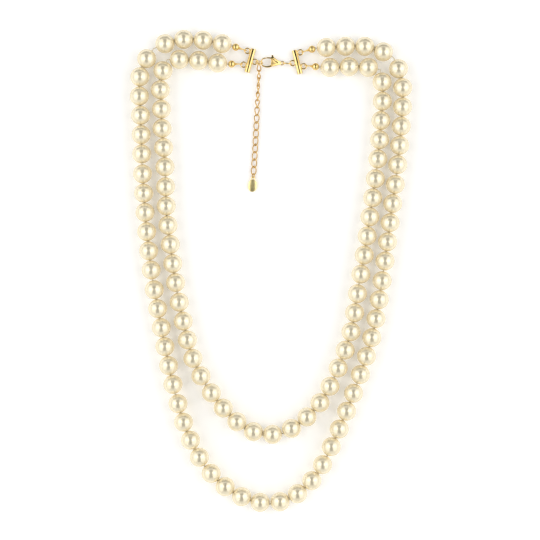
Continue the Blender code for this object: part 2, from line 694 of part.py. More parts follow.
LEFT_BAR = bar_matrix(LEFT_BAR_CENTRE, LEFT_BAR_TURN)
RIGHT_BAR = bar_matrix(RIGHT_BAR_CENTRE, RIGHT_BAR_TURN)
LEFT_CLASP_WIRE = clasp_wire(LEFT_BAR)
RIGHT_CLASP_WIRE = clasp_wire(RIGHT_BAR)
NOSE = LEFT_CLASP_WIRE + Vector((NOSE_SPAN, 0.0, 0.0))
JUMP_RING_CENTRE = (LEFT_CLASP_WIRE + NOSE) / 2
EYELET = NOSE + Vector((0.0088, -0.00025, 0.0))
PIVOT = NOSE + Vector((0.0055, 0.00085, 0.0))
EYELET_WIRE_PLACE = EYELET + Vector((EYELET_RADIUS, 0.0, 0.0))
CHAIN_HANG_POINT = JUMP_RING_CENTRE + (
    Matrix.Rotation(JUMP_RING_HEADING, 3, "Z") @ Matrix.Rotation(-JUMP_RING_LEAN, 3, "X")
    @ Vector((0.0, -JUMP_RING_RADIUS, 0.0)))
CLASP_LINK_CENTRE = (EYELET_WIRE_PLACE + RIGHT_CLASP_WIRE) / 2
CLASP_LINK_HEADING = math.atan2(RIGHT_CLASP_WIRE.y - EYELET_WIRE_PLACE.y,
                                RIGHT_CLASP_WIRE.x - EYELET_WIRE_PLACE.x)

tips = {}
for side_name, side_matrix, up in (("left", LEFT_BAR, 1), ("right", RIGHT_BAR, -1)):
    bar(f"bar_{side_name}", side_matrix, up)
    for strand_name, along in zip(("outer", "inner"), strand_loop_places(up)):
        tip_name = f"{strand_name}_{side_name}"
        tips[tip_name] = tip_frame(strand_wire(side_matrix, along), TIP_HEADINGS[tip_name])
        bead_tip(f"bead_tip_{tip_name}", tips[tip_name])
strand("outer", OUTER_ROUTE, OUTER_PEARLS, OUTER_GROUPS, OUTER_BARE_THREAD, OUTER_FOLDS,
       (tips["outer_left"], tips["outer_right"]))
strand("inner", INNER_ROUTE, INNER_PEARLS, INNER_GROUPS, INNER_BARE_THREAD, INNER_FOLDS,
       (tips["inner_left"], tips["inner_right"]))
clasp_small_parts(clasp_body())
clasp_trigger()
small_rings()
chain_run = chain_frames()
chain(chain_run)
tag(chain_run[-1])
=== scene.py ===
"""Looks of the pearl necklace: drilled pearls on threads, polished gold findings, chain and tag, seen
from straight above on a pale floor.  Metres, +Z up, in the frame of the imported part."""

import json
import math

import bmesh
import bpy
import numpy as np
from mathutils import Matrix, Vector


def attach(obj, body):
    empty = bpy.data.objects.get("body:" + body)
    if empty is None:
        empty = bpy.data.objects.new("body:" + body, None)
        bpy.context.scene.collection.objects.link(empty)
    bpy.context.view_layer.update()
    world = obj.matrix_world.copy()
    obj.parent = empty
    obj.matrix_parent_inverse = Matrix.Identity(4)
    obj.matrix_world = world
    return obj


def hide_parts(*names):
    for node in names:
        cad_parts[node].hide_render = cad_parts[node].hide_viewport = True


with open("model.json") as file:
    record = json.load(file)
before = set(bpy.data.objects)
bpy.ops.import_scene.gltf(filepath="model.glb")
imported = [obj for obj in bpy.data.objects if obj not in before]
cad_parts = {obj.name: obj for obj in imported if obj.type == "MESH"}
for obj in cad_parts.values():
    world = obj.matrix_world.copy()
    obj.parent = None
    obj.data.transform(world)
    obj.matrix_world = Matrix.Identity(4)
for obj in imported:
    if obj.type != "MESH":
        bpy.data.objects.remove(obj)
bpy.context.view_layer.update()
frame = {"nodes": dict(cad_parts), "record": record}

# The part's own dimensions and routes
PEARL_RADIUS = 0.004
BORE_RADIUS = 0.00042
BORE_CHAMFER = 0.00016
THREAD_RADIUS = 0.00025
KNOT_RADIUS = 0.00075
GROUP_GAP = 0.00025
PEARL_SPIN = math.radians(137.5)
PEARL_RINGS = 26
PEARL_SEGMENTS = 48
FIT_ROUNDS = 24
CURVE_STEPS = 24
OUTER = {
    "name": "outer", "pearls": 59, "groups": (4, 10, 16, 22, 26, 30, 34, 38, 44, 49, 55, 59),
    "bare": {4: 0.0016, 55: 0.0012},
    "threads": ((0, 10, "strand_ends"), (10, 16, "outer_upper"), (16, 22, "outer_middle"),
                (22, 38, "outer_bottom"), (38, 44, "outer_middle"), (44, 49, "outer_upper"),
                (49, 59, "strand_ends")),
    "route": [
        (-0.0284, 0.0964), (-0.0364, 0.0969), (-0.0447, 0.0952), (-0.0520, 0.0900), (-0.0550, 0.0815),
        (-0.0544, 0.0650), (-0.0540, 0.0485), (-0.0526, 0.0242), (-0.0500, 0.0000), (-0.0458, -0.0236),
        (-0.0410, -0.0472), (-0.0338, -0.0704), (-0.0256, -0.0840), (-0.0125, -0.0943),
        (0.0035, -0.0968), (0.0172, -0.0875), (0.0250, -0.0733), (0.0343, -0.0510), (0.0420, -0.0278),
        (0.0463, -0.0037), (0.0496, 0.0206), (0.0528, 0.0449), (0.0546, 0.0660), (0.0549, 0.0780),
        (0.0530, 0.0865), (0.0470, 0.0922), (0.0389, 0.0939), (0.0228, 0.0932)]}
INNER = {
    "name": "inner", "pearls": 48, "groups": (3, 9, 15, 20, 25, 29, 34, 40, 45, 48), "bare": {},
    "threads": ((0, 9, "strand_ends"), (9, 15, "inner_upper"), (15, 20, "inner_middle"),
                (20, 29, "inner_bottom"), (29, 34, "inner_middle"), (34, 40, "inner_upper"),
                (40, 48, "strand_ends")),
    "route": [
        (-0.0311, 0.0879), (-0.0390, 0.0887), (-0.0442, 0.0878), (-0.0468, 0.0826), (-0.0460, 0.0755),
        (-0.0456, 0.0596), (-0.0442, 0.0435), (-0.0439, 0.0274), (-0.0421, 0.0113), (-0.0399, -0.0050),
        (-0.0367, -0.0208), (-0.0329, -0.0363), (-0.0252, -0.0506), (-0.0142, -0.0632),
        (-0.0073, -0.0675), (0.0011, -0.0686), (0.0089, -0.0657), (0.0210, -0.0544), (0.0281, -0.0400),
        (0.0335, -0.0250), (0.0360, -0.0088), (0.0389, 0.0070), (0.0412, 0.0231), (0.0436, 0.0392),
        (0.0453, 0.0553), (0.0463, 0.0718), (0.0472, 0.0795), (0.0454, 0.0842), (0.0402, 0.0858),
        (0.0331, 0.0853), (0.0249, 0.0846)]}

BAR_LENGTH = 0.0102
BAR_WIDTH = 0.0022
BAR_HEIGHT = 0.0020
BAR_WALL = 0.0012
BAR_EDGE = 0.00012
BAR_FLATNESS = 0.75
LOOP_RADIUS = 0.0011
LOOP_WIRE = 0.00029
CLASP_LOOP_OFFSET = 0.0020
STRAND_LOOP_OFFSET = 0.0022
LOOP_SPACING = 0.0060
LOOP_SHIFT = 0.0006
HARDWARE_HEIGHT = 0.0015
LEFT_BAR_PLACE = ((-0.0088, 0.0881), math.radians(-15.4))
RIGHT_BAR_PLACE = ((0.0109, 0.0875), math.radians(194.3))

TIP_BALL_RADIUS = 0.00155
TIP_WALL = 0.0003
TIP_HOLE_RADIUS = 0.00048
TIP_LIP_LENGTH = 0.0001
TIP_NECK_RADIUS = 0.00028
TIP_HOOK_RADIUS = 0.00072
TIP_HOOK_WIRE = 0.0002
TIP_HOOK_DISTANCE = 0.00425
TIP_PEARL_DISTANCE = 0.00200
TIP_HEADINGS = {"outer_left": 164.3, "inner_left": 183.5, "outer_right": 12.4, "inner_right": -9.6}
KNOT_PROFILE = ((-0.0009, THREAD_RADIUS), (-0.0007, KNOT_RADIUS * 0.7), (-0.0004, KNOT_RADIUS),
                (0.0002, KNOT_RADIUS * 0.9), (0.0005, KNOT_RADIUS), (0.0008, THREAD_RADIUS))

JUMP_RING_RADIUS = 0.0015
JUMP_RING_WIRE = 0.0002
JUMP_RING_LEAN = math.radians(60)
JUMP_RING_HEADING = math.radians(-9)
NOSE_SPAN = 0.00165
CLASP_THICKNESS = 0.0022
HOUSING_EDGE = 0.0004
LEVER_THICKNESS = 0.0006
LEVER_EDGE = 0.00016
LEVER_SLOT = 0.0009
PIN_RADIUS = 0.00035
GATE_WIRE = 0.0003
EYELET_OFFSET = (0.0088, -0.00025, 0.0)
PIVOT_OFFSET = (0.0055, 0.00085, 0.0)
EYELET_RADIUS = 0.00075
EYELET_WIRE = 0.00022
LINK_LENGTH = 0.00195
LINK_WIDTH = 0.00095
LINK_WIRE = 0.0002
MILLIMETRE = 0.001
# Outlines of the clasp, in millimetres from its nose
CLAW = [(4.9, -1.0), (3.9, -1.5), (2.8, -1.78), (1.6, -1.7), (0.7, -1.35), (0.15, -0.75), (0.0, 0.0),
        (0.15, 0.8), (0.65, 1.45), (1.2, 1.75), (1.75, 1.87)]
CLAW_RADII = [0.52, 0.46, 0.39, 0.34, 0.29, 0.26, 0.25, 0.26, 0.28, 0.29, 0.26]
HOUSING = [(4.55, 1.15), (4.75, 1.5), (5.3, 1.45), (6.5, 0.75), (7.7, 0.2), (8.05, 0.0), (8.05, -0.45),
           (7.4, -0.6), (6.0, -0.95), (4.6, -1.35), (4.3, -0.9), (4.5, 0.0)]
SLOT = [(2.0, 0.35), (2.0, 3.5), (7.0, 3.5), (7.2, -0.05), (6.6, -0.35), (5.0, -0.45), (4.0, -0.3)]
LEVER = [(4.5, 2.2), (4.45, 3.0), (4.8, 3.05), (5.2, 2.1), (6.3, 1.3), (6.9, 0.75), (6.6, 0.3),
         (5.9, 0.2), (5.1, 0.2), (4.8, 0.75), (4.1, 1.35), (4.0, 2.1)]
HOUSING_TAPER = (4.3, 8.1, 0.33)
LEVER_TAPER = (3.9, 6.9, 0.2)
GROOVE = [(4.9, 1.25), (7.0, -0.25)]
GROOVE_WIDTH = 0.00045
GROOVE_DEPTH = 0.0006
GATE = [(4.75, 1.65), (3.6, 1.92), (2.75, 1.97), (2.2, 1.92)]
GATE_TAPER = [1.0, 1.0, 0.95, 0.8]

CHAIN_LINKS = 15
CHAIN_PITCH = 0.0031
CHAIN_WIRE = 0.00025
CHAIN_HALF_WIDTH = 0.0010
CHAIN_HALF_LENGTH = 0.00185
CHAIN_TWIST = 0.00038
CHAIN_ROLLS = (130, 110, 92, 80, 68, 54, 36, 18, 4, 0, 0, 0, 0, 0, 0)
CHAIN_HANG = 0.00127
CHAIN_ROUTE = [
    (-0.0051, 0.0823, 0.0018), (-0.0053, 0.0790, 0.00145), (-0.0058, 0.0700, 0.0013),
    (-0.0061, 0.0630, 0.0009), (-0.0066, 0.0535, 0.0007), (-0.0072, 0.0440, 0.0007),
    (-0.0080, 0.0340, 0.0007)]
TAG_RING_RADIUS = 0.0009
TAG_RING_WIRE = 0.0002
TAG_RING_OFFSET = (0.0, -0.00215, 0.00025)
TAG_RING_ROLL = math.radians(-53)
TAG_HALF_WIDTH = 0.00195
TAG_HALF_LENGTH = 0.00265
TAG_THICKNESS = 0.0006
TAG_OFFSET = (0.0, -0.0063, -0.0001)
TAG_LEAN = math.radians(5)
TAG_EYE_RADIUS = 0.00075
TAG_EYE_WIRE = 0.0002
TAG_EYE_OVERHANG = 0.0004

# Camera: straight down, the picture's width at the pearls' mid height
CAMERA_CENTRE = (-0.0005, 0.00046)
PICTURE_WIDTH = 0.2252
CAMERA_LENS = 120.0
SENSOR_WIDTH = 36.0

# Studio
SOFTBOX_X = 0.36
SOFTBOX_Y = 0.03
SOFTBOX_Z = 0.50
SOFTBOX_SIZE = (0.34, 0.60)
SOFTBOX_POWER = 0.50
ROOM_COLOUR = (1.0, 0.995, 0.985, 1.0)
ROOM_LEVEL = 0.78
PANEL_LEVEL = 1.35
STRIP_DARKNESS = 0.985
CARD_SIZE = (3.2, 0.6)
CARD_DISTANCE = 1.5
FLOOR_HALF_SIZE = 3.0
FLOOR_DROP = 0.0002
FLOOR_GLOW = 0.22

owner = {}
for body_name, members in frame["record"]["behaviour"]["bodies"].items():
    for member in members:
        owner[member] = body_name


# Materials

class Shading:
    """A Principled material and short calls for the nodes that feed it."""

    def __init__(self, name, **values):
        self.material = bpy.data.materials.new(name)
        self.material.use_nodes = True
        self.tree = self.material.node_tree
        self.shader = self.tree.nodes["Principled BSDF"]
        for socket, value in values.items():
            self.shader.inputs[socket.replace("_", " ")].default_value = value
        self.place = self.node("ShaderNodeTexCoord").outputs["Object"]

    def node(self, kind, links=(), **settings):
        made = self.tree.nodes.new(kind)
        for key, value in settings.items():
            setattr(made, key, value)
        for socket, value in dict(links).items():
            self.feed(made.inputs[socket], value)
        return made

    def feed(self, socket, value):
        if isinstance(value, bpy.types.NodeSocket):
            self.tree.links.new(value, socket)
        else:
            socket.default_value = value

    def noise(self, scale, detail=2.0, roughness=0.5, stretch=(1.0, 1.0, 1.0), distortion=0.0):
        spread = self.node("ShaderNodeMapping", {"Vector": self.place, "Scale": stretch})
        return self.node("ShaderNodeTexNoise", {
            "Vector": spread.outputs["Vector"], "Scale": scale, "Detail": detail,
            "Roughness": roughness, "Distortion": distortion}).outputs["Fac"]

    def ramp(self, factor, stops):
        made = self.node("ShaderNodeValToRGB", {"Fac": factor})
        ramp = made.color_ramp
        while len(ramp.elements) < len(stops):
            ramp.elements.new(0.5)
        for element, (position, colour) in zip(ramp.elements, stops):
            element.position = position
            element.color = (*colour, 1.0)
        return made.outputs["Color"]

    def remap(self, factor, low, high):
        made = self.node("ShaderNodeMapRange", {"Value": factor, "To Min": low, "To Max": high})
        return made.outputs["Result"]

    def bump(self, height, distance, strength=1.0, normal=None):
        made = self.node("ShaderNodeBump", {"Height": height, "Distance": distance, "Strength": strength})
        if normal:
            self.feed(made.inputs["Normal"], normal)
        return made.outputs["Normal"]

    def drive(self, socket, value):
        self.feed(self.shader.inputs[socket], value)


def pearl_material():
    """Cream nacre: pearl flakes that mirror softly, a clear coat, and faint clouding under it."""
    made = Shading("pearl_nacre", Metallic=0.45, IOR=1.6, Coat_Weight=0.6, Coat_Roughness=0.05, Coat_IOR=1.6,
                   Coat_Tint=(1.0, 0.965, 0.87, 1.0), Specular_Tint=(0.94, 0.82, 0.52, 1.0))
    clouds = made.noise(320.0, detail=3.0, distortion=0.6)
    made.drive("Base Color", made.ramp(clouds, [
        (0.28, (0.92, 0.835, 0.64)), (0.5, (0.935, 0.86, 0.68)), (0.75, (0.95, 0.88, 0.72))]))
    made.drive("Roughness", made.remap(made.noise(900.0, detail=2.0), 0.17, 0.24))
    made.drive("Normal", made.bump(made.noise(1400.0, detail=1.0), 0.000003, 0.3))
    return made.material


def gold_material(name, light, deep, roughness, scratch):
    """Polished plate: hairline scratches, a little colour drift and micro pits."""
    made = Shading(name, Metallic=1.0, Specular_IOR_Level=0.5)
    drift = made.noise(700.0, detail=3.0)
    made.drive("Base Color", made.ramp(drift, [(0.3, deep), (0.7, light)]))
    lines = made.noise(5200.0, detail=4.0, roughness=0.65, stretch=(1.0, 0.12, 1.0))
    made.drive("Roughness", made.remap(lines, roughness * 0.7, roughness * 1.4))
    pits = made.noise(9000.0, detail=2.0)
    fine = made.bump(pits, 0.0000008, 0.3)
    made.drive("Normal", made.bump(lines, scratch, 0.5, fine))
    return made.material


def tag_material():
    """Pale gold plate with soft lengthwise brushing."""
    made = Shading("tag_plate", Metallic=1.0)
    drift = made.noise(900.0, detail=2.0)
    made.drive("Base Color", made.ramp(drift, [(0.3, (0.90, 0.74, 0.33)), (0.7, (0.97, 0.84, 0.45))]))
    brush = made.noise(2400.0, detail=4.0, roughness=0.6, stretch=(1.0, 0.05, 0.4))
    made.drive("Roughness", made.remap(brush, 0.24, 0.4))
    made.drive("Normal", made.bump(brush, 0.00001, 0.5))
    return made.material


def thread_material():
    """Twisted cream cord: slanted strands and loose fibres."""
    made = Shading("thread_cord", Roughness=0.75, Sheen_Weight=0.3, Sheen_Roughness=0.5)
    fibres = made.noise(9000.0, detail=3.0, stretch=(1.0, 1.0, 0.4))
    twist = made.node("ShaderNodeTexWave", {
        "Vector": made.place, "Scale": 900.0, "Distortion": 1.5, "Detail": 1.0},
        bands_direction="DIAGONAL").outputs["Fac"]
    made.drive("Base Color", made.ramp(fibres, [(0.3, (0.66, 0.58, 0.42)), (0.7, (0.86, 0.79, 0.64))]))
    made.drive("Normal", made.bump(twist, 0.00004, 0.8, made.bump(fibres, 0.00001, 0.5)))
    return made.material


def steel_material():
    """Drawn spring wire."""
    made = Shading("spring_wire", Metallic=1.0)
    lines = made.noise(8000.0, detail=3.0, stretch=(0.1, 1.0, 1.0))
    made.drive("Base Color", made.ramp(lines, [(0.3, (0.45, 0.45, 0.47)), (0.7, (0.64, 0.64, 0.66))]))
    made.drive("Roughness", made.remap(lines, 0.25, 0.42))
    made.drive("Normal", made.bump(lines, 0.000004, 0.5))
    return made.material


pearl_finish = pearl_material()
bright_gold = gold_material("bright_gold_plate", (0.86, 0.66, 0.30), (0.78, 0.55, 0.20), 0.08, 0.0000006)
chain_gold = gold_material("chain_gold_plate", (0.74, 0.52, 0.23), (0.62, 0.40, 0.14), 0.11, 0.000001)
tag_gold = tag_material()
thread_finish = thread_material()
steel_finish = steel_material()


# Meshes

def finish_mesh(mesh, finish, angle=40):
    """Give a mesh its one material, smooth faces, and sharp edges above an angle in degrees."""
    mesh.materials.clear()
    mesh.materials.append(finish)
    mesh.shade_smooth()
    mesh.set_sharp_from_angle(angle=math.radians(angle))
    return mesh


def piece(name, mesh, body, replaced=None, matrix=None):
    """A shown piece that rides on a body and may stand for a node of the part."""
    item = bpy.data.objects.new(name, mesh)
    bpy.context.scene.collection.objects.link(item)
    if matrix is not None:
        item.matrix_world = matrix
    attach(item, body)
    if replaced:
        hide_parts(replaced)
    return item


def turned(name, profile, segments, finish, closed=False, scale=(1.0, 1.0)):
    """A profile of (radius, height) turned round Z; points on the axis are single vertices."""
    work = bmesh.new()
    rings = []
    for radius, height in profile:
        if radius < 1e-9:
            rings.append([work.verts.new((0.0, 0.0, height))])
            continue
        ring = []
        for step in range(segments):
            angle = 2 * math.pi * step / segments
            ring.append(work.verts.new((radius * scale[0] * math.cos(angle),
                                        radius * scale[1] * math.sin(angle), height)))
        rings.append(ring)
    pairs = list(zip(rings, rings[1:]))
    if closed:
        pairs.append((rings[-1], rings[0]))
    for above, below in pairs:
        for step in range(segments):
            after = (step + 1) % segments
            if len(above) == 1:
                corners = [above[0], below[step], below[after]]
            elif len(below) == 1:
                corners = [above[step], below[0], above[after]]
            else:
                corners = [above[step], below[step], below[after], above[after]]
            work.faces.new(corners)
    bmesh.ops.recalc_face_normals(work, faces=work.faces)
    mesh = bpy.data.meshes.new(name)
    work.to_mesh(mesh)
    work.free()
    return finish_mesh(mesh, finish)


def tube(name, points, radii, finish, sides=12, cyclic=False):
    """A tube round a line of points, with round ends where it isn't a loop."""
    centres = [Vector(place) for place in points]
    widths = list(radii)
    count = len(centres)
    if cyclic:
        tangents = [(centres[(i + 1) % count] - centres[i - 1]).normalized() for i in range(count)]
    else:
        ends = [2 * centres[0] - centres[1], *centres, 2 * centres[-1] - centres[-2]]
        tangents = [(ends[i + 2] - ends[i]).normalized() for i in range(count)]
    start = Vector((0.0, 0.0, 1.0))
    if abs(tangents[0].dot(start)) > 0.9:
        start = Vector((1.0, 0.0, 0.0))
    sideways = [(start - tangents[0] * start.dot(tangents[0])).normalized()]
    for before, now in zip(tangents, tangents[1:]):
        turn = before.rotation_difference(now)
        sideways.append((turn @ sideways[-1]).normalized())
    slip = 0.0
    if cyclic:
        last = tangents[-1].rotation_difference(tangents[0]) @ sideways[-1]
        slip = math.atan2(tangents[0].dot(last.cross(sideways[0])), last.dot(sideways[0]))
    work = bmesh.new()

    def ring(centre, tangent, side, width, twist=0.0):
        across = tangent.cross(side)
        made = []
        for step in range(sides):
            angle = 2 * math.pi * step / sides + twist
            made.append(work.verts.new(centre + (side * math.cos(angle) + across * math.sin(angle)) * width))
        return made

    rings = []
    for index in range(count):
        twist = slip * index / count
        rings.append(ring(centres[index], tangents[index], sideways[index], widths[index], twist))
    caps = ((60, 30), (30, 60)) if not cyclic else ((), ())
    front = [ring(centres[0] - tangents[0] * widths[0] * math.sin(math.radians(a)), tangents[0],
                  sideways[0], widths[0] * math.cos(math.radians(a))) for a in caps[0]]
    back = [ring(centres[-1] + tangents[-1] * widths[-1] * math.sin(math.radians(a)), tangents[-1],
                 sideways[-1], widths[-1] * math.cos(math.radians(a))) for a in caps[1]]
    rings = front + rings + back
    pairs = list(zip(rings, rings[1:]))
    if cyclic:
        pairs.append((rings[-1], rings[0]))
    for first, second in pairs:
        for step in range(sides):
            after = (step + 1) % sides
            work.faces.new([first[step], first[after], second[after], second[step]])
    if not cyclic:
        for loop, centre, way in ((rings[0], centres[0] - tangents[0] * widths[0], 1),
                                  (rings[-1], centres[-1] + tangents[-1] * widths[-1], -1)):
            tip = work.verts.new(centre)
            for step in range(sides):
                work.faces.new([loop[step], loop[(step + 1) % sides], tip][::way])
    bmesh.ops.recalc_face_normals(work, faces=work.faces)
    mesh = bpy.data.meshes.new(name)
    work.to_mesh(mesh)
    work.free()
    return finish_mesh(mesh, finish, 60)


def smooth_line(points, steps):
    """Centripetal Catmull-Rom curve through points of any dimension."""
    rows = np.array(points, float)
    ends = np.vstack([2 * rows[0] - rows[1], rows, 2 * rows[-1] - rows[-2]])
    path = []
    for index in range(1, len(ends) - 2):
        before, start, end, after = ends[index - 1:index + 3]
        span_a = math.sqrt(np.linalg.norm(start - before))
        span_b = math.sqrt(np.linalg.norm(end - start))
        span_c = math.sqrt(np.linalg.norm(after - end))
        before_slope = (start - before) / span_a - (end - before) / (span_a + span_b)
        after_slope = (after - end) / span_c - (after - start) / (span_b + span_c)
        middle_slope = (end - start) / span_b
        leave = span_b * (before_slope + middle_slope)
        arrive = span_b * (after_slope + middle_slope)
        for step in range(steps):
            t = step / steps
            ease = 3 * t**2 - 2 * t**3
            path.append((1 - ease) * start + (t**3 - 2 * t**2 + t) * leave
                        + ease * end + (t**3 - t**2) * arrive)
    path.append(rows[-1])
    return np.array(path)


def loop_points(radius, count, half_width=None, start=0.0, sweep=360.0):
    """Points round a circle or an oval in the XY plane."""
    width = half_width or radius
    last = count if sweep >= 360.0 else count - 1
    places = []
    for step in range(count):
        angle = math.radians(start + sweep * step / last)
        places.append(Vector((radius * math.cos(angle), width * math.sin(angle), 0.0)))
    return places


def placed(points, matrix):
    return [matrix @ Vector(place) for place in points]


def plate(name, outline, thickness, edge, finish, rounds=4):
    """A flat plate with round edges from an outline in the XY plane, made as a filled curve."""
    data = bpy.data.curves.new(name, "CURVE")
    data.dimensions = "2D"
    data.fill_mode = "BOTH"
    data.extrude = thickness / 2 - edge
    data.bevel_depth = edge
    data.bevel_resolution = rounds
    spline = data.splines.new("POLY")
    spline.points.add(len(outline) - 1)
    for knot, place in zip(spline.points, outline):
        knot.co = (*place[:2], 0.0, 1.0)
    spline.use_cyclic_u = True
    item = bpy.data.objects.new(name, data)
    bpy.context.scene.collection.objects.link(item)
    bpy.context.view_layer.update()
    mesh = bpy.data.meshes.new_from_object(item.evaluated_get(bpy.context.evaluated_depsgraph_get()))
    bpy.data.objects.remove(item, do_unlink=True)
    work = bmesh.new()
    work.from_mesh(mesh)
    bmesh.ops.remove_doubles(work, verts=work.verts, dist=1e-7)
    bmesh.ops.recalc_face_normals(work, faces=work.faces)
    work.to_mesh(mesh)
    work.free()
    return finish_mesh(mesh, finish)


def tapered(mesh, start, end, left):
    """Thin a plate along +X between two places, down to the share of its thickness that is left."""
    work = bmesh.new()
    work.from_mesh(mesh)
    for vert in work.verts:
        along = (vert.co.x / MILLIMETRE - start) / (end - start)
        vert.co.z *= 1 - (1 - left) * min(1.0, max(0.0, along))
    bmesh.ops.triangulate(work, faces=[face for face in work.faces if len(face.verts) > 4])
    work.to_mesh(mesh)
    work.free()
    return mesh


def groove(ends, width, depth, half):
    """Cutters for a straight groove on both faces of a plate, along a line between two places."""
    start, end = [Vector(place) * MILLIMETRE for place in ends]
    along = end - start
    side = Vector((-along.y, along.x)).normalized() * width / 2
    outline = [start - side, end - side, end + side, start + side]
    cutters = []
    for lift in (half, -half):
        cutter = plate("clasp_groove", outline, depth * 2, 0.0, bright_gold, 0)
        cutter.transform(Matrix.Translation((0.0, 0.0, lift)))
        cutters.append(cutter)
    return cutters


def shaped(mesh, operation, others):
    """Join meshes to a mesh, or cut them from it."""
    item = bpy.data.objects.new("shaped", mesh)
    bpy.context.scene.collection.objects.link(item)
    tools = []
    for other in others:
        tool = bpy.data.objects.new("tool", other)
        bpy.context.scene.collection.objects.link(tool)
        tools.append(tool)
        change = item.modifiers.new("change", "BOOLEAN")
        change.operation = operation
        change.object = tool
    bpy.context.view_layer.update()
    result = bpy.data.meshes.new_from_object(item.evaluated_get(bpy.context.evaluated_depsgraph_get()))
    for thing in [item, *tools]:
        bpy.data.objects.remove(thing, do_unlink=True)
    return result


# Strands

def walk(path, steps):
    """Points at the given chord lengths along the path, which runs straight on past its end."""
    ahead = path[-1] - path[-2]
    tail = path[-1] + ahead * (2 * sum(steps) / np.linalg.norm(ahead))
    track = np.vstack([path, tail])
    place = track[0]
    places = [place]
    index = 0
    for step in steps:
        while np.linalg.norm(track[index + 1] - place) < step:
            index += 1
        along = track[index + 1] - track[index]
        offset = track[index] - place
        a = along @ along
        b = 2 * along @ offset
        c = offset @ offset - step * step
        place = track[index] + along * ((math.sqrt(b * b - 4 * a * c) - b) / (2 * a))
        places.append(place)
    return np.array(places)


def bends(places):
    """The angle that the thread turns through at each gap between pearls."""
    runs = np.diff(places, axis=0)
    headings = np.arctan2(runs[:, 1], runs[:, 0])
    turns = (np.diff(headings) + math.pi) % (2 * math.pi) - math.pi
    return np.concatenate([[0.0], turns, [0.0]])


def lay_pearls(path, strand, pitch):
    """Gap points along the thread, and pearl centres between them; a bend opens its gap."""
    base = np.full(strand["pearls"] + 1, pitch / 2)
    for last in strand["groups"]:
        base[last] += GROUP_GAP / 2
    slack = np.zeros(strand["pearls"] + 1)
    for gap, length in strand["bare"].items():
        slack[gap] = length / 2
    half = base + slack
    for _ in range(12):
        gaps = walk(path, half[:-1] + half[1:])
        half = base / np.cos(bends(gaps) / 2) + slack
    share = half[:-1] / (half[:-1] + half[1:])
    centres = gaps[:-1] + np.diff(gaps, axis=0) * share[:, None]
    return gaps, centres


def fit_strand(strand, ends):
    """Find the pitch that brings the last pearl to the end of the route."""
    path = smooth_line([ends[0]["pearl_end"][:2], *strand["route"], ends[1]["pearl_end"][:2]], CURVE_STEPS)
    ahead = path[-1] - path[-3]
    low = 2 * PEARL_RADIUS
    high = low * 1.05
    for _ in range(FIT_ROUNDS):
        pitch = (low + high) / 2
        gaps, centres = lay_pearls(path, strand, pitch)
        if (gaps[-1] - path[-1]) @ ahead > 0:
            high = pitch
        else:
            low = pitch
    return gaps, centres


def lifted(place):
    return Vector((place[0], place[1], PEARL_RADIUS))


def pearl_mesh():
    """A ball with a bore through it along Z and a small chamfer at each hole."""
    mouth = BORE_RADIUS + BORE_CHAMFER
    first = math.asin(mouth / PEARL_RADIUS)
    reach = PEARL_RADIUS * math.cos(first)
    profile = [(BORE_RADIUS, reach - BORE_CHAMFER)]
    for step in range(PEARL_RINGS + 1):
        angle = first + (math.pi - 2 * first) * step / PEARL_RINGS
        profile.append((PEARL_RADIUS * math.sin(angle), PEARL_RADIUS * math.cos(angle)))
    profile.append((BORE_RADIUS, BORE_CHAMFER - reach))
    return turned("pearl", profile, PEARL_SEGMENTS, pearl_finish, closed=True)


def string_strand(strand, ends, ball):
    """The strand's pearls, each on its group's body, and its thread, one piece for each run."""
    name = strand["name"]
    gaps, centres = fit_strand(strand, ends)
    group = 0
    for index, centre in enumerate(centres):
        if index == strand["groups"][group]:
            group += 1
        axis = (lifted(gaps[index + 1]) - lifted(gaps[index])).normalized()
        spin = Matrix.Rotation(PEARL_SPIN * index, 4, "Z")
        facing = axis.to_track_quat("Z", "X").to_matrix().to_4x4()
        matrix = Matrix.Translation(lifted(centre)) @ facing @ spin
        node = f"pearls_{name}_{group + 1:02d}"
        piece(f"pearl_{name}_{index + 1:02d}", ball, owner[node], node, matrix)
    for index, (first, last, body) in enumerate(strand["threads"]):
        line = [(lifted(place), THREAD_RADIUS) for place in gaps[first:last + 1]]
        if first == 0:
            line = [(ends[0]["ball"] + ends[0]["axis"] * reach, radius)
                    for reach, radius in reversed(KNOT_PROFILE)] + line
        if last == strand["pearls"]:
            line = line + [(ends[1]["ball"] + ends[1]["axis"] * reach, radius)
                           for reach, radius in KNOT_PROFILE]
        points, radii = zip(*line)
        run = tube(f"thread_{name}", points, radii, thread_finish, sides=10)
        replaced = f"thread_{name}" if body == "strand_ends" else None
        piece(f"thread_{name}_run_{index + 1}", run, body, replaced)


# Bars and bead tips

def bar_matrix(place):
    (x, y), turn = place
    return Matrix.Translation((x, y, 0.0)) @ Matrix.Rotation(turn, 4, "Z")


def strand_wire(matrix, y):
    """The middle of a strand loop's outermost wire, which a bead tip hooks round."""
    return matrix @ Vector((-STRAND_LOOP_OFFSET - LOOP_RADIUS, y, HARDWARE_HEIGHT))


def clasp_wire(matrix):
    """The middle of the clasp loop's outermost wire, which a ring passes round."""
    return matrix @ Vector((CLASP_LOOP_OFFSET + LOOP_RADIUS, 0.0, HARDWARE_HEIGHT))


def strand_loop_places(up):
    """Where a bar's strand loops lie along it, the outer strand's first; up is 1 where +Y points up."""
    return (up * (LOOP_SHIFT + LOOP_SPACING / 2), up * (LOOP_SHIFT - LOOP_SPACING / 2))


